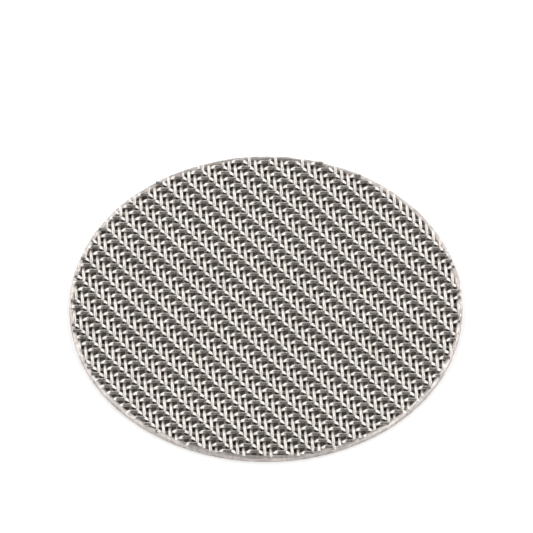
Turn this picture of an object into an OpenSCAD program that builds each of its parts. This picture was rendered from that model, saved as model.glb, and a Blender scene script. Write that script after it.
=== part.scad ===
// Woven wire filter disc.
// One twill-woven sheet of steel wire, pressed and bonded into a single wall,
// with a smooth fused rim round its cut edge.
// Origin at the centre of the underside, +Z up, warp wires along Y, sizes in millimetres.

/* [Disc] */
// Outside diameter, across the fused rim
disc_d = 58.5; // [40:0.5:66]
// Overall thickness, rim face to rim face
disc_t = 1.1; // [0.9:0.05:2]
// Width of the fused rim, from its outside wall to the weave
rim_w = 0.6; // [0.45:0.05:1.5]
// Rounding of the rim's two outer edges
rim_round = 0.3; // [0.1:0.05:0.4]

/* [Weave] */
// Spacing of the warp wires, which lie along Y
warp_pitch = 1; // [0.95:0.01:2]
// Spacing of the weft wires, which lie along X
weft_pitch = 1.165; // [1.1:0.005:2]
// Wires that a wire passes over before it dives under as many
float_over = 2; // [1:1:4]
// Sideways place of the middle warp, as a share of the warp spacing
warp_shift = -0.38; // [-0.5:0.01:0.5]
// Place of the middle weft, as a share of the weft spacing
weft_shift = -0.24; // [-0.5:0.01:0.5]
// Depth of the pores below the wires' crests
pore_depth = 0.45; // [0.1:0.05:0.6]
// How far the crests stay below the rim's upper face
crest_drop = 0.03; // [0.01:0.01:0.1]
// How far the weave's flat underside stays above the rim's lower face
wall_lift = 0.05; // [0.05:0.01:0.1]

/* [Hidden] */
$fn = 64;

disc_r = disc_d / 2;
open_r = disc_r - rim_w;
// The weave's outer corners are buried half-way into the rim
seat_r = disc_r - rim_w / 2;
// Crossings nearer the rim than this are lost in it
crest_r = open_r - warp_pitch / 3;
crest_z = disc_t - crest_drop;
pore_z = crest_z - pore_depth;
steel_colour = [0.74, 0.72, 0.69];

repeat = 2 * float_over;
row_lo = ceil(-crest_r / weft_pitch - weft_shift);
row_hi = floor(crest_r / weft_pitch - weft_shift);
col_lo = ceil(-crest_r / warp_pitch - warp_shift);
col_hi = floor(crest_r / warp_pitch - warp_shift);
cols = col_hi - col_lo + 2;
layer = cols * (row_hi - row_lo + 2);

function warp_x(i) = (i + warp_shift) * warp_pitch;
function weft_y(k) = (k + weft_shift) * weft_pitch;
function chord(k) = sqrt(max(0, crest_r * crest_r - weft_y(k) * weft_y(k)));
function lo(k) = ceil(-chord(k) / warp_pitch - warp_shift);
function hi(k) = floor(chord(k) / warp_pitch - warp_shift);
function woven(i, k) = k >= row_lo && k <= row_hi && i >= lo(k) && i <= hi(k);
// True where warp i lies over weft k
function warp_up(i, k) = (((i + k - 1) % repeat) + repeat) % repeat < float_over;

// Points: crests at the crossings, pores at the corners between them, and the wall below the pores
function index(row, i, k) = row * layer + (k - row_lo) * cols + i - col_lo;
function crest(i, k) = index(0, i, k);
function pore(i, k) = index(1, i, k);
function under(i, k) = index(2, i, k);
function inner(i, k) = woven(i, k) && woven(i - 1, k) && woven(i, k - 1) && woven(i - 1, k - 1);
function corner(i, k) =
    let (p = [warp_x(i - 0.5), weft_y(k - 0.5)]) inner(i, k) ? p : p * seat_r / norm(p);
grid = [for (k = [row_lo : row_hi + 1]) for (i = [col_lo : col_hi + 1]) [i, k]];
points = concat(
    [for (g = grid) [warp_x(g[0]), weft_y(g[1]), crest_z]],
    [for (g = grid) concat(corner(g[0], g[1]), pore_z)],
    [for (g = grid) concat(corner(g[0], g[1]), wall_lift)]);

// Two faces across the line from corner a to corner b, between crossings c and d.
// Along a float they meet in a ridge from c to d, elsewhere in a valley from a to b.
function pair(c, d, a, b, ridge) = ridge ? [[c, a, d], [c, d, b]] : [[c, a, b], [d, b, a]];
// The face and the wall at the outside of the weave
function edge(c, a, b, lower_a, lower_b) = [[c, a, b], [b, a, lower_a, lower_b]];

function right_of(i, k) = woven(i + 1, k)
    ? pair(crest(i, k), crest(i + 1, k), pore(i + 1, k), pore(i + 1, k + 1),
           !warp_up(i, k) && !warp_up(i + 1, k))
    : edge(crest(i, k), pore(i + 1, k), pore(i + 1, k + 1), under(i + 1, k), under(i + 1, k + 1));
function behind(i, k) = woven(i, k + 1)
    ? pair(crest(i, k), crest(i, k + 1), pore(i + 1, k + 1), pore(i, k + 1),
           warp_up(i, k) && warp_up(i, k + 1))
    : edge(crest(i, k), pore(i + 1, k + 1), pore(i, k + 1), under(i + 1, k + 1), under(i, k + 1));
function left_of(i, k) = woven(i - 1, k) ? []
    : edge(crest(i, k), pore(i, k + 1), pore(i, k), under(i, k + 1), under(i, k));
function before(i, k) = woven(i, k - 1) ? []
    : edge(crest(i, k), pore(i, k), pore(i + 1, k), under(i, k), under(i + 1, k));

// Columns strictly between a and b, in the order met
function between(a, b) = let (s = a < b ? 1 : -1) a == b ? [] : [for (i = [a + s : s : b - s]) i];
right_side = [for (k = [row_lo : row_hi]) each concat(
    [[hi(k) + 1, k]],
    k == row_hi || hi(k) != hi(k + 1) ? [[hi(k) + 1, k + 1]] : [],
    k == row_hi ? [] : [for (i = between(hi(k) + 1, hi(k + 1) + 1)) [i, k + 1]])];
back_side = [for (i = between(hi(row_hi) + 1, lo(row_hi))) [i, row_hi + 1]];
left_side = [for (k = [row_hi : -1 : row_lo]) each concat(
    [[lo(k), k + 1]],
    k == row_lo || lo(k) != lo(k - 1) ? [[lo(k), k]] : [],
    k == row_lo ? [] : [for (i = between(lo(k), lo(k - 1))) [i, k]])];
front_side = [for (i = between(lo(row_lo), hi(row_lo) + 1)) [i, row_lo]];
outline = concat(right_side, back_side, left_side, front_side);

function reversed(list) = [for (i = [len(list) - 1 : -1 : 0]) list[i]];

// The woven wall: float ridges over pores on top, flat below
module weave() {
    tops = [for (k = [row_lo : row_hi]) for (i = [lo(k) : hi(k)])
        each concat(right_of(i, k), behind(i, k), left_of(i, k), before(i, k))];
    below = [reversed([for (p = outline) under(p[0], p[1])])];
    polyhedron(points, [for (f = concat(tops, below)) reversed(f)], convexity = 10);
}

module rim() {
    rotate_extrude()
        translate([open_r, 0]) {
            square([rim_w - rim_round, disc_t]);
            translate([0, rim_round]) square([rim_w, disc_t - 2 * rim_round]);
            for (z = [rim_round, disc_t - rim_round])
                translate([rim_w - rim_round, z]) circle(r = rim_round);
        }
}

module filter_disc() {
    color(steel_colour) {
        rim();
        weave();
    }
}

filter_disc();
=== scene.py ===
"""Looks of the woven wire filter disc: crimped wires, fused rim, backing, light and camera.

Everything is in metres in the CAD frame: origin at the centre of the underside, +Z up,
warp wires along Y and weft wires along X.
"""

import logging
import math
import random
from dataclasses import dataclass
from enum import Enum

import bpy
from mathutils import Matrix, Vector


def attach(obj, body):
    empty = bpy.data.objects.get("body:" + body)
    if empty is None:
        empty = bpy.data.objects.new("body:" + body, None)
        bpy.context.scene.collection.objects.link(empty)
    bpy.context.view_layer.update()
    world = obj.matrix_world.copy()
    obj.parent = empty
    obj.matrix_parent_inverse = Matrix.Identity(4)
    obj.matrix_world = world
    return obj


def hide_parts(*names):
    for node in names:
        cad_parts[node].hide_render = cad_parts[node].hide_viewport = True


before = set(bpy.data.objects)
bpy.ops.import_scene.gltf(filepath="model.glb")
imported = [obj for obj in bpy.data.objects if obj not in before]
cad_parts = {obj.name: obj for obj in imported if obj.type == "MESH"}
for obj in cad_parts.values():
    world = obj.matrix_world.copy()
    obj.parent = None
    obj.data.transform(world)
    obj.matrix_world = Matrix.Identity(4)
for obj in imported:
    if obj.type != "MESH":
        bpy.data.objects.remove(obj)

logging.basicConfig(level=logging.INFO, format="%(name)s: %(message)s")
LOG = logging.getLogger("filter_disc")

MM = 0.001
NODE = "filter_disc"
PHOTO_PX = 533
SMOOTH_ANGLE = math.radians(50)
SLOPE_STEP = 1e-4
MERGE_DISTANCE = 1e-6
UPWARD = 0.5


class Run(Enum):
    """The two directions that wires run in."""

    WARP = "warp"
    WEFT = "weft"


@dataclass(frozen=True)
class SteelFinish:
    """A bright or satin steel, with drawing marks along one direction."""

    name: str
    base: tuple[float, float, float]
    dark: tuple[float, float, float]
    roughness: tuple[float, float]
    mark_scale: tuple[float, float, float]
    bump: float
    blotch_scale: float
    tinted: bool = False
    mark_detail: float = 3.0
    blotch_detail: float = 2.0
    blotch_share: float = 1.4
    spread: tuple[float, float] = (0.8, 1.6)
    even_share: float = 0.7
    relief: float = 0.03 * MM

    def build(self) -> bpy.types.Material:
        """Makes the node material.

        Returns:
            The material, with its colour, roughness and bump from nodes.
        """
        mat = bpy.data.materials.new(self.name)
        mat.use_nodes = True
        nodes, links = mat.node_tree.nodes, mat.node_tree.links
        shader = nodes["Principled BSDF"]
        shader.inputs["Metallic"].default_value = 1.0
        coords = nodes.new("ShaderNodeTexCoord")
        stretch = nodes.new("ShaderNodeMapping")
        stretch.inputs["Scale"].default_value = self.mark_scale
        links.new(coords.outputs["Object"], stretch.inputs["Vector"])
        marks = nodes.new("ShaderNodeTexNoise")
        marks.inputs["Scale"].default_value = 1.0
        marks.inputs["Detail"].default_value = self.mark_detail
        links.new(stretch.outputs["Vector"], marks.inputs["Vector"])
        tone = nodes.new("ShaderNodeMix")
        tone.data_type = "RGBA"
        tone.inputs["A"].default_value = (*self.dark, 1.0)
        tone.inputs["B"].default_value = (*self.base, 1.0)
        blotch = nodes.new("ShaderNodeTexNoise")
        blotch.inputs["Scale"].default_value = self.blotch_scale
        blotch.inputs["Detail"].default_value = self.blotch_detail
        links.new(coords.outputs["Object"], blotch.inputs["Vector"])
        mixed = nodes.new("ShaderNodeMath")
        mixed.operation = "MULTIPLY_ADD"
        links.new(blotch.outputs["Fac"], mixed.inputs[0])
        mixed.inputs[1].default_value = self.blotch_share
        links.new(marks.outputs["Fac"], mixed.inputs[2])
        spread = nodes.new("ShaderNodeMapRange")
        spread.inputs["From Min"].default_value = self.spread[0]
        spread.inputs["From Max"].default_value = self.spread[1]
        links.new(mixed.outputs["Value"], spread.inputs["Value"])
        source = spread.outputs["Result"]
        if self.tinted:
            wire = nodes.new("ShaderNodeAttribute")
            wire.attribute_name = "wire_tone"
            even = nodes.new("ShaderNodeMix")
            even.inputs["Factor"].default_value = self.even_share
            links.new(wire.outputs["Fac"], even.inputs["A"])
            links.new(source, even.inputs["B"])
            links.new(even.outputs["Result"], tone.inputs["Factor"])
        else:
            links.new(source, tone.inputs["Factor"])
        links.new(tone.outputs["Result"], shader.inputs["Base Color"])
        gloss = nodes.new("ShaderNodeMapRange")
        gloss.inputs["To Min"].default_value = self.roughness[0]
        gloss.inputs["To Max"].default_value = self.roughness[1]
        links.new(source, gloss.inputs["Value"])
        links.new(gloss.outputs["Result"], shader.inputs["Roughness"])
        relief = nodes.new("ShaderNodeBump")
        relief.inputs["Strength"].default_value = self.bump
        relief.inputs["Distance"].default_value = self.relief
        links.new(source, relief.inputs["Height"])
        links.new(relief.outputs["Normal"], shader.inputs["Normal"])
        return mat


@dataclass(frozen=True)
class FineMeshFinish:
    """The wall under the pores, textured as a close plain weave, with painted shade in the gaps
    between its fine wires.
    """

    name: str
    base: tuple[float, float, float]
    gap_shade: tuple[float, float, float]
    metallic: float
    pitch: float = 0.16 * MM
    roughness: tuple[float, float] = (0.7, 0.42)
    bump: float = 0.6
    relief: float = 0.03 * MM

    def build(self) -> bpy.types.Material:
        """Makes the node material.

        Returns:
            The material, with its fine weave as colour, roughness and bump.
        """
        mat = bpy.data.materials.new(self.name)
        mat.use_nodes = True
        nodes, links = mat.node_tree.nodes, mat.node_tree.links
        shader = nodes["Principled BSDF"]
        shader.inputs["Metallic"].default_value = self.metallic
        coords = nodes.new("ShaderNodeTexCoord")
        heights = []
        for direction in ("X", "Y"):
            band = nodes.new("ShaderNodeTexWave")
            band.bands_direction = direction
            # A wave repeats every 2 pi / 20 of its scaled coordinate
            band.inputs["Scale"].default_value = math.pi / 10 / self.pitch
            links.new(coords.outputs["Object"], band.inputs["Vector"])
            heights.append(band.outputs["Fac"])
        weave = nodes.new("ShaderNodeMath")
        weave.operation = "MAXIMUM"
        links.new(heights[0], weave.inputs[0])
        links.new(heights[1], weave.inputs[1])
        # Painted shade: the gap colour darkens the openings between the fine wires.
        tone = nodes.new("ShaderNodeMix")
        tone.data_type = "RGBA"
        tone.inputs["A"].default_value = (*self.gap_shade, 1.0)
        tone.inputs["B"].default_value = (*self.base, 1.0)
        links.new(weave.outputs["Value"], tone.inputs["Factor"])
        links.new(tone.outputs["Result"], shader.inputs["Base Color"])
        gloss = nodes.new("ShaderNodeMapRange")
        gloss.inputs["To Min"].default_value = self.roughness[0]
        gloss.inputs["To Max"].default_value = self.roughness[1]
        links.new(weave.outputs["Value"], gloss.inputs["Value"])
        links.new(gloss.outputs["Result"], shader.inputs["Roughness"])
        relief = nodes.new("ShaderNodeBump")
        relief.inputs["Strength"].default_value = self.bump
        relief.inputs["Distance"].default_value = self.relief
        links.new(weave.outputs["Value"], relief.inputs["Height"])
        links.new(relief.outputs["Normal"], shader.inputs["Normal"])
        return mat


@dataclass(frozen=True)
class MattFinish:
    """A matt surface for the floor, lit a little from beneath."""

    name: str
    base: tuple[float, float, float]
    glow: float
    roughness: float = 0.95

    def build(self) -> bpy.types.Material:
        """Makes the floor's material.

        Returns:
            The material.
        """
        mat = bpy.data.materials.new(self.name)
        mat.use_nodes = True
        shader = mat.node_tree.nodes["Principled BSDF"]
        shader.inputs["Base Color"].default_value = (*self.base, 1.0)
        shader.inputs["Roughness"].default_value = self.roughness
        shader.inputs["Specular IOR Level"].default_value = 0.0
        shader.inputs["Emission Color"].default_value = (1.0, 1.0, 1.0, 1.0)
        shader.inputs["Emission Strength"].default_value = self.glow
        return mat


# Painted light: warps and wefts are one steel, painted a lighter tone for the warps and a darker
# one for the wefts, so the warp floats read brighter.
WARP_STEEL_PAINTED_BRIGHT = SteelFinish(
    name="warp_steel",
    base=(0.93, 0.888, 0.840),
    dark=(0.66, 0.622, 0.587),
    roughness=(0.50, 0.36),
    mark_scale=(9000.0, 900.0, 9000.0),
    bump=0.9,
    blotch_scale=3000.0,
    tinted=True,
)
WEFT_STEEL_PAINTED_DIM = SteelFinish(
    name="weft_steel",
    base=(0.76, 0.724, 0.686),
    dark=(0.44, 0.415, 0.392),
    roughness=(0.28, 0.18),
    mark_scale=(900.0, 9000.0, 9000.0),
    bump=0.9,
    blotch_scale=3000.0,
    tinted=True,
)
RIM_STEEL = SteelFinish(
    name="rim_steel",
    base=(0.67, 0.622, 0.592),
    dark=(0.41, 0.375, 0.355),
    roughness=(0.55, 0.40),
    mark_scale=(1800.0, 1800.0, 2500.0),
    bump=1.0,
    blotch_scale=900.0,
)
# Painted shade: a near-black, non-metallic colour for the backing's upper face, standing in for the
# deep shade in the pores.
PORE_SHADE_MESH = FineMeshFinish(
    name="pore_shade_mesh", base=(0.150, 0.130, 0.112), gap_shade=(0.050, 0.043, 0.037), metallic=0.0
)
UNDER_MESH = FineMeshFinish(
    name="under_mesh", base=(0.60, 0.58, 0.56), gap_shade=(0.10, 0.095, 0.09), metallic=1.0
)
FLOOR_WHITE = MattFinish("floor_white", (0.96, 0.96, 0.96), glow=0.16)


def deselect() -> None:
    """Leaves object mode with nothing selected."""
    if bpy.context.object and bpy.context.object.mode != "OBJECT":
        bpy.ops.object.mode_set(mode="OBJECT")
    bpy.ops.object.select_all(action="DESELECT")


def make_active(piece: bpy.types.Object) -> None:
    """Selects one object alone and makes it the active one.

    Args:
        piece: The object to work on.
    """
    deselect()
    piece.select_set(True)
    bpy.context.view_layer.objects.active = piece


def turn(angle: float, axis: str, centre: Vector) -> None:
    """Turns what is selected in edit mode, by the right-hand rule.

    Args:
        angle: Angle in radians.
        axis: Axis of the turn, "X", "Y" or "Z".
        centre: Point that the axis passes through.
    """
    # The operator turns the other way when there is no window
    bpy.ops.transform.rotate(value=-angle, orient_axis=axis, center_override=centre)


def face_outward(piece: bpy.types.Object) -> None:
    """Makes the faces look outward and shades them smooth by angle.

    Args:
        piece: The mesh object.
    """
    make_active(piece)
    bpy.ops.object.mode_set(mode="EDIT")
    bpy.ops.mesh.select_all(action="SELECT")
    bpy.ops.mesh.normals_make_consistent(inside=False)
    bpy.ops.object.mode_set(mode="OBJECT")
    bpy.ops.object.shade_smooth_by_angle(angle=SMOOTH_ANGLE)


def dress(piece: bpy.types.Object, *finishes: bpy.types.Material) -> None:
    """Gives a piece its materials and its place in the frame.

    Args:
        piece: The finished mesh object, at the origin.
        finishes: Materials, in the order of the mesh's slots.
    """
    piece.data.materials.clear()
    for finish in finishes:
        piece.data.materials.append(finish)
    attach(piece, "root")
    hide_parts(NODE)
    LOG.info("%s: %d faces", piece.name, len(piece.data.polygons))


@dataclass(frozen=True)
class Cloth:
    """Sizes that the two sets of wires share.

    Attributes:
        disc_r: Radius of the disc, to the rim's outside wall.
        rim_w: Width of the solid's rim.
        mid_z: Height of the cloth's middle.
        warp_pitch: Spacing of the warp wires.
        weft_pitch: Spacing of the weft wires.
        warp_shift: Place of the middle warp, as a share of the spacing.
        weft_shift: Place of the middle weft, as a share of the spacing.
        float_over: Wires that a wire passes over before it dives.
        buried: How far inside the rim's outside wall the wires end.
    """

    disc_r: float = 29.25 * MM
    rim_w: float = 0.6 * MM
    mid_z: float = 0.58 * MM
    warp_pitch: float = 1.0 * MM
    weft_pitch: float = 1.165 * MM
    warp_shift: float = -0.38
    weft_shift: float = 0.0
    float_over: int = 2
    buried: float = 0.24 * MM

    @property
    def reach(self) -> float:
        """Radius at which the wires end."""
        return self.disc_r - self.buried

    @property
    def repeat(self) -> int:
        """Crossings in one repeat of the twill."""
        return 2 * self.float_over


@dataclass
class WireSet:
    """All the wires of one direction: one crimp repeat, copied along and across the disc.

    Attributes:
        run: Direction of the wires.
        cloth: Sizes shared with the other set.
        width: Width of a wire.
        flat: Height of a wire, as a share of its width.
        crimp: Height of the crimp's wave.
        shoulder: Share of the third harmonic, which flattens a float's top.
        dive: Share of the fifth harmonic, which shapes a float's ends.
        skew: How far a float's ends lie to the side.
        seed: Seed of the wires' tones and strays.
        stray: How far a wire may lie out of its even place.
        sink: How far the set lies below the cloth's middle.
        sides: Sides of a wire's section.
        rings: Rings of faces from one crossing to the next.
    """

    run: Run
    cloth: Cloth
    width: float
    flat: float
    crimp: float
    shoulder: float
    dive: float
    skew: float
    seed: int
    stray: float = 0.02 * MM
    sink: float = 0.0
    sides: int = 8
    rings: int = 5

    @property
    def along(self) -> float:
        """Spacing of the crossings along a wire."""
        return self.cloth.weft_pitch if self.run is Run.WARP else self.cloth.warp_pitch

    @property
    def across(self) -> float:
        """Spacing of the wires."""
        return self.cloth.warp_pitch if self.run is Run.WARP else self.cloth.weft_pitch

    @property
    def length(self) -> float:
        """Length of one crimp repeat."""
        return self.cloth.repeat * self.along

    @property
    def first_crest(self) -> float:
        """Place of the middle of wire 0's upper float, in crossings, before the shift."""
        return 1.5 if self.run is Run.WARP else 3.5

    def place(self, along: float, across: float, up: float) -> Vector:
        """A point of the wire set in the CAD frame.

        Args:
            along: Distance along the wire.
            across: Distance across the wires.
            up: Height.

        Returns:
            The point.
        """
        return Vector((across, along, up)) if self.run is Run.WARP else Vector((along, across, up))

    def height(self, along: float) -> float:
        """Height of the crimped centre line above the cloth's middle.

        Args:
            along: Distance from the middle of an upper float.

        Returns:
            The height.
        """
        phase = math.tau * along / self.length
        top = math.cos(phase) - self.shoulder * math.cos(3 * phase)
        return self.crimp * (top + self.dive * math.cos(5 * phase))

    def drift(self, along: float) -> float:
        """Sideways place of the centre line: each float lies a little askew.

        Args:
            along: Distance from the middle of an upper float.

        Returns:
            The distance across the wires.
        """
        return -self.skew * math.sin(math.tau * along / self.length)

    def centre(self, along: float) -> Vector:
        """A point of the crimped centre line of a wire through the origin.

        Args:
            along: Distance from the middle of an upper float.

        Returns:
            The point.
        """
        up = self.cloth.mid_z - self.sink + self.height(along)
        return self.place(along, self.drift(along), up)

    def slope(self, along: float) -> float:
        """Angle at which the centre line climbs.

        Args:
            along: Distance from the middle of an upper float.

        Returns:
            The angle in radians.
        """
        step = SLOPE_STEP * self.length
        return math.atan2(self.height(along + step) - self.height(along - step), 2 * step)

    def model_repeat(self) -> bpy.types.Object:
        """Models one crimp repeat by extruding and turning a ring along the crimp.

        Returns:
            The open tube, from the middle of one upper float to the middle of the next.
        """
        deselect()
        lie = (math.pi / 2, 0, 0) if self.run is Run.WARP else (0, math.pi / 2, 0)
        start = self.centre(0)
        bpy.ops.mesh.primitive_circle_add(
            vertices=self.sides, radius=self.width / 2, location=start, rotation=lie
        )
        piece = bpy.context.object
        bpy.ops.object.transform_apply(location=True, rotation=True, scale=True)
        bpy.ops.object.mode_set(mode="EDIT")
        bpy.ops.mesh.select_all(action="SELECT")
        # Half a side's turn puts a flat on top, as pressing leaves it
        turn(math.pi / self.sides, "Y" if self.run is Run.WARP else "X", start)
        bpy.ops.transform.resize(value=(1, 1, self.flat), center_override=start)
        count = self.cloth.repeat * self.rings
        axis, sense = ("X", 1) if self.run is Run.WARP else ("Y", -1)
        before = 0.0
        for ring in range(1, count + 1):
            here = ring * self.length / count
            centre = self.centre(here)
            step = centre - self.centre(before)
            bpy.ops.mesh.extrude_region_move(TRANSFORM_OT_translate={"value": step})
            turn(sense * (self.slope(here) - self.slope(before)), axis, centre)
            before = here
        bpy.ops.object.mode_set(mode="OBJECT")
        return piece

    def model_wire(self) -> bpy.types.Object:
        """Repeats the crimp to a wire longer than the disc.

        Returns:
            The whole wire, starting at the middle of an upper float.
        """
        piece = self.model_repeat()
        array = piece.modifiers.new("repeats", "ARRAY")
        array.count = math.ceil(2 * self.cloth.disc_r / self.length) + 2
        array.use_relative_offset = False
        array.use_constant_offset = True
        array.constant_offset_displace = self.place(self.length, 0, 0)
        array.use_merge_vertices = True
        array.merge_threshold = MERGE_DISTANCE
        make_active(piece)
        bpy.ops.object.modifier_apply(modifier=array.name)
        return piece

    def cut_wire(
        self, master: bpy.types.Object, number: int, tone: float, stray: float
    ) -> bpy.types.Object | None:
        """Copies the wire to its place and cuts it where it runs into the rim.

        Args:
            master: The whole wire.
            number: The wire's number, counted from the middle of the disc.
            tone: The wire's own tone, from 0 to 1.
            stray: How far the wire lies out of its even place.

        Returns:
            The cut wire, or None where the disc has no room for it.
        """
        cloth = self.cloth
        shift, other = cloth.warp_shift, cloth.weft_shift
        if self.run is Run.WEFT:
            shift, other = other, shift
        across = (number + shift) * self.across + stray
        if abs(across) > cloth.reach - self.width / 2:
            return None
        half = math.sqrt(cloth.reach**2 - across**2)
        crest = self.first_crest - number + other
        start = (crest % cloth.repeat) * self.along - stray
        start -= math.ceil((start + cloth.disc_r) / self.length) * self.length
        make_active(master)
        bpy.ops.object.duplicate(linked=False)
        piece = bpy.context.object
        bpy.ops.object.mode_set(mode="EDIT")
        bpy.ops.mesh.select_all(action="SELECT")
        bpy.ops.transform.translate(value=self.place(start, across, 0))
        for end in (-half, half):
            bpy.ops.mesh.select_all(action="SELECT")
            bpy.ops.mesh.bisect(
                plane_co=self.place(end, 0, 0),
                plane_no=self.place(math.copysign(1, end), 0, 0),
                use_fill=True,
                clear_outer=True,
            )
        bpy.ops.object.mode_set(mode="OBJECT")
        layer = piece.data.attributes.new("wire_tone", "FLOAT", "POINT")
        layer.data.foreach_set("value", [tone] * len(piece.data.vertices))
        return piece

    def build(self, finish: bpy.types.Material) -> bpy.types.Object:
        """Weaves the set: a cut copy for each wire, joined into one piece.

        Args:
            finish: The wires' material.

        Returns:
            The finished piece.
        """
        chance = random.Random(self.seed)
        master = self.model_wire()
        most = math.ceil(self.cloth.disc_r / self.across) + 1
        cut = [
            self.cut_wire(master, n, chance.random(), chance.uniform(-self.stray, self.stray))
            for n in range(-most, most + 1)
        ]
        wires = [wire for wire in cut if wire]
        deselect()
        for wire in wires:
            wire.select_set(True)
        bpy.context.view_layer.objects.active = wires[0]
        bpy.ops.object.join()
        piece = bpy.context.object
        piece.name = piece.data.name = f"{self.run.value}_wires"
        bpy.data.objects.remove(master)
        face_outward(piece)
        dress(piece, finish)
        return piece


@dataclass
class FusedRim:
    """The smooth rim that the wires' ends are fused into.

    Attributes:
        cloth: Sizes of the cloth.
        shoulder: Width and height of the outer edge's rounding.
        wall_z: Height of the outside wall, up to the rounding.
        ridge_w: Distance of the ridge from the outside wall.
        ridge_z: Height of the ridge.
        foot: Rounding of the lower edge.
        lip: Width and height of the step from the ridge down to the skirt.
        skirt_w: Width of the metal run in between the wires.
        skirt_z: Height of that metal at its inner edge.
        unevenness: How far the melted surface strays.
        segments: Faces round the rim.
        arc_steps: Faces across each rounding.
    """

    cloth: Cloth
    shoulder: tuple[float, float] = (0.2 * MM, 0.25 * MM)
    wall_z: float = 0.55 * MM
    ridge_w: float = 0.44 * MM
    ridge_z: float = 0.94 * MM
    foot: float = 0.05 * MM
    lip: tuple[float, float] = (0.08 * MM, 0.06 * MM)
    skirt_w: float = 0.3 * MM
    skirt_z: float = 0.74 * MM
    unevenness: float = 0.07 * MM
    segments: int = 256
    arc_steps: int = 5

    def profile(self) -> list[tuple[float, float]]:
        """The rim's section, from its inner foot round the outside to the skirt.

        Returns:
            Pairs of radius and height.
        """
        r, ridge = self.cloth.disc_r, self.cloth.disc_r - self.ridge_w
        wide, tall = self.shoulder
        angles = [math.pi / 2 * step / self.arc_steps for step in range(self.arc_steps + 1)]
        below = [(r - self.foot * (1 - math.sin(a)), self.foot * (1 - math.cos(a))) for a in angles]
        above = [(r - wide * (1 - math.cos(a)), self.wall_z + tall * math.sin(a)) for a in angles]
        halfway = ((r - wide + ridge) / 2, (self.wall_z + tall + self.ridge_z) / 2)
        inside = ridge - self.skirt_w
        skirt = [(ridge - self.lip[0], self.skirt_z + self.lip[1]), (inside, self.skirt_z)]
        return [(inside, 0.0), *below, *above, halfway, (ridge, self.ridge_z), *skirt]

    def melt(self) -> None:
        """Makes the rim a little uneven above its foot, as fused metal sets."""
        piece = bpy.context.object
        bpy.ops.mesh.select_mode(type="VERT")
        bpy.ops.mesh.select_all(action="DESELECT")
        bpy.ops.object.mode_set(mode="OBJECT")
        for point in piece.data.vertices:
            point.select = point.co.z > self.foot
        bpy.ops.object.mode_set(mode="EDIT")
        bpy.ops.transform.vertex_random(offset=2 * self.unevenness, uniform=0.3, normal=0.7, seed=4)
        bpy.ops.mesh.vertices_smooth(factor=0.5, repeat=2)

    def build(self, finish: bpy.types.Material) -> bpy.types.Object:
        """Models the rim by extruding and scaling a ring through the section.

        Args:
            finish: The rim's material.

        Returns:
            The finished piece.
        """
        deselect()
        points = self.profile()
        radius, low = points[0]
        bpy.ops.mesh.primitive_circle_add(
            vertices=self.segments, radius=radius, location=(0, 0, low)
        )
        piece = bpy.context.object
        piece.name = piece.data.name = "fused_rim"
        bpy.ops.object.mode_set(mode="EDIT")
        bpy.ops.mesh.select_all(action="SELECT")
        for (r0, z0), (r1, z1) in zip(points, points[1:]):
            bpy.ops.mesh.extrude_region_move(TRANSFORM_OT_translate={"value": (0, 0, z1 - z0)})
            bpy.ops.transform.resize(value=(r1 / r0, r1 / r0, 1), center_override=(0, 0, z1))
        bpy.ops.mesh.select_all(action="DESELECT")
        bpy.ops.mesh.select_non_manifold(extend=False)
        bpy.ops.mesh.bridge_edge_loops()
        self.melt()
        bpy.ops.object.mode_set(mode="OBJECT")
        bpy.ops.object.transform_apply(location=True, rotation=True, scale=True)
        face_outward(piece)
        dress(piece, finish)
        return piece


@dataclass
class Backing:
    """The wall under the wires, which closes the pores; its upper face is painted near black as
    painted shade, so the pores read dark.

    Attributes:
        cloth: Sizes of the cloth.
        low: Height of its underside.
        high: Height of its upper face.
        edge_share: Share of the rim's width that its edge stays inside the disc's.
        border: Width of the band round its upper face.
        segments: Sides of its outline.
    """

    cloth: Cloth
    low: float = 0.02 * MM
    high: float = 0.08 * MM
    edge_share: float = 0.7
    border: float = 0.3 * MM
    segments: int = 128

    def build(self, seen: bpy.types.Material, hidden: bpy.types.Material) -> bpy.types.Object:
        """Models the wall as a thin round with a band round its upper face.

        Args:
            seen: Material of the upper face, seen through the pores: near-black painted shade.
            hidden: Material of the underside and the edge.

        Returns:
            The finished piece.
        """
        deselect()
        bpy.ops.mesh.primitive_circle_add(
            vertices=self.segments,
            radius=self.cloth.disc_r - self.edge_share * self.cloth.rim_w,
            fill_type="NGON",
            location=(0, 0, self.low),
        )
        piece = bpy.context.object
        piece.name = piece.data.name = "fine_backing"
        bpy.ops.object.transform_apply(location=True, rotation=True, scale=True)
        bpy.ops.object.mode_set(mode="EDIT")
        bpy.ops.mesh.select_all(action="SELECT")
        rise = (0, 0, self.high - self.low)
        bpy.ops.mesh.extrude_region_move(TRANSFORM_OT_translate={"value": rise})
        bpy.ops.mesh.inset(thickness=self.border)
        bpy.ops.object.mode_set(mode="OBJECT")
        face_outward(piece)
        dress(piece, seen, hidden)
        # Upward faces take the painted pore shade, the others the underside's steel.
        for face in piece.data.polygons:
            face.material_index = 0 if face.normal.z > UPWARD else 1
        return piece


@dataclass(frozen=True)
class SoftLight:
    """A rectangular studio light that faces the disc."""

    name: str
    place: tuple[float, float, float]
    size: tuple[float, float]
    watts: float

    def build(self) -> bpy.types.Object:
        """Adds the light.

        Returns:
            The light's object.
        """
        data = bpy.data.lights.new(self.name, "AREA")
        data.shape = "RECTANGLE"
        data.size, data.size_y = self.size
        data.energy = self.watts
        lamp = bpy.data.objects.new(self.name, data)
        bpy.context.scene.collection.objects.link(lamp)
        lamp.location = self.place
        lamp.rotation_euler = (-Vector(self.place)).to_track_quat("-Z", "Y").to_euler()
        return lamp


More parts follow.
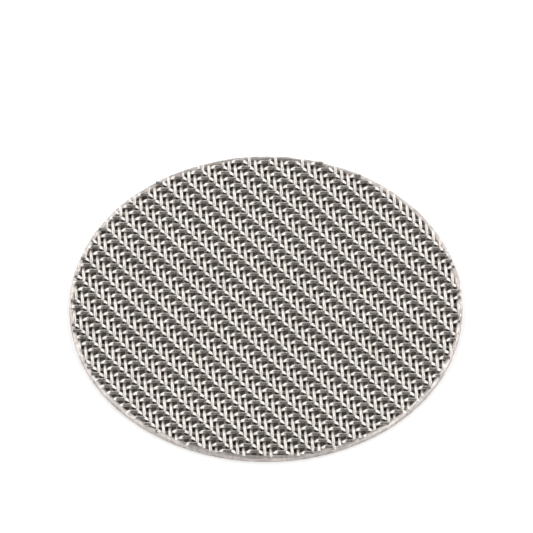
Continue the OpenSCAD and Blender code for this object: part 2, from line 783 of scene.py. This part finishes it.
@dataclass
class Studio:
    """Floor, light and camera, set to the photograph's view."""

    lights: tuple[SoftLight, ...] = (
        SoftLight("left_light", (-0.60, -0.10, 0.36), (1.15, 0.85), 5.2),
        SoftLight("right_light", (0.60, -0.10, 0.36), (1.15, 0.85), 5.2),
        SoftLight("left_back_light", (-0.37, 0.50, 0.44), (0.50, 0.50), 1.5),
        SoftLight("right_back_light", (0.37, 0.50, 0.44), (0.50, 0.50), 1.5),
        SoftLight("backdrop_light", (0.0, 1.0, 0.16), (2.0, 0.30), 2.8),
    )
    floor_size: float = 3.0
    world_front: float = 0.18
    world_back: float = 0.20
    world_blend: float = 0.4
    elevation: float = 50.3
    azimuth: float = 1.7
    distance: float = 1.29
    target_z: float = 1.1 * MM
    px_per_mm: float = 6.726
    centre_px: tuple[float, float] = (266.0, 303.8)
    sensor: float = 36.0
    clip: tuple[float, float] = (0.05, 20.0)

    def build_floor(self) -> None:
        """Adds the pale floor that the disc lies on."""
        deselect()
        bpy.ops.mesh.primitive_plane_add(size=self.floor_size, location=(0, 0, 0))
        floor = bpy.context.object
        floor.name = floor.data.name = "floor"
        floor.data.materials.append(FLOOR_WHITE.build())

    def build_world(self) -> None:
        """Adds the room's light: dim behind the camera, brighter beyond the disc."""
        world = bpy.data.worlds.new("studio")
        bpy.context.scene.world = world
        world.use_nodes = True
        nodes, links = world.node_tree.nodes, world.node_tree.links
        coords = nodes.new("ShaderNodeTexCoord")
        split = nodes.new("ShaderNodeSeparateXYZ")
        links.new(coords.outputs["Generated"], split.inputs[0])
        ramp = nodes.new("ShaderNodeMapRange")
        ramp.inputs["From Min"].default_value = -self.world_blend
        ramp.inputs["From Max"].default_value = self.world_blend
        ramp.inputs["To Min"].default_value = self.world_front
        ramp.inputs["To Max"].default_value = self.world_back
        links.new(split.outputs["Y"], ramp.inputs["Value"])
        links.new(ramp.outputs["Result"], nodes["Background"].inputs["Strength"])
        nodes["Background"].inputs["Color"].default_value = (1, 1, 1, 1)

    def build_camera(self) -> None:
        """Adds the camera at the photograph's angle and framing."""
        data = bpy.data.cameras.new("camera")
        camera = bpy.data.objects.new("camera", data)
        bpy.context.scene.collection.objects.link(camera)
        el, az = math.radians(self.elevation), math.radians(self.azimuth)
        back = Vector((math.sin(az) * math.cos(el), -math.cos(az) * math.cos(el), math.sin(el)))
        camera.location = Vector((0, 0, self.target_z)) + back * self.distance
        camera.rotation_euler = (-back).to_track_quat("-Z", "Y").to_euler()
        data.sensor_width = self.sensor
        data.lens = data.sensor_width * self.px_per_mm * self.distance / MM / PHOTO_PX
        data.shift_x = -(self.centre_px[0] - PHOTO_PX / 2) / PHOTO_PX
        data.shift_y = (self.centre_px[1] - PHOTO_PX / 2) / PHOTO_PX
        data.clip_start, data.clip_end = self.clip
        bpy.context.scene.camera = camera

    def build(self) -> None:
        """Sets the whole studio."""
        self.build_floor()
        self.build_world()
        for light in self.lights:
            light.build()
        self.build_camera()
        bpy.context.scene.view_settings.view_transform = "Standard"


def main() -> None:
    """Builds the disc's pieces and the studio."""
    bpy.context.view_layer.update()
    cloth = Cloth()
    warps = WireSet(
        run=Run.WARP,
        cloth=cloth,
        width=0.49 * MM,
        flat=0.86,
        crimp=0.28 * MM,
        shoulder=-0.08,
        dive=-0.02,
        skew=0.09 * MM,
        seed=11,
        sink=0.088 * MM,
    )
    wefts = WireSet(
        run=Run.WEFT,
        cloth=cloth,
        width=0.66 * MM,
        flat=0.84,
        crimp=0.31 * MM,
        shoulder=0.23,
        dive=0.04,
        skew=0.0,
        seed=23,
    )
    warps.build(WARP_STEEL_PAINTED_BRIGHT.build())
    wefts.build(WEFT_STEEL_PAINTED_DIM.build())
    FusedRim(cloth).build(RIM_STEEL.build())
    Backing(cloth).build(PORE_SHADE_MESH.build(), UNDER_MESH.build())
    Studio().build()


if __name__ == "__main__":
    main()
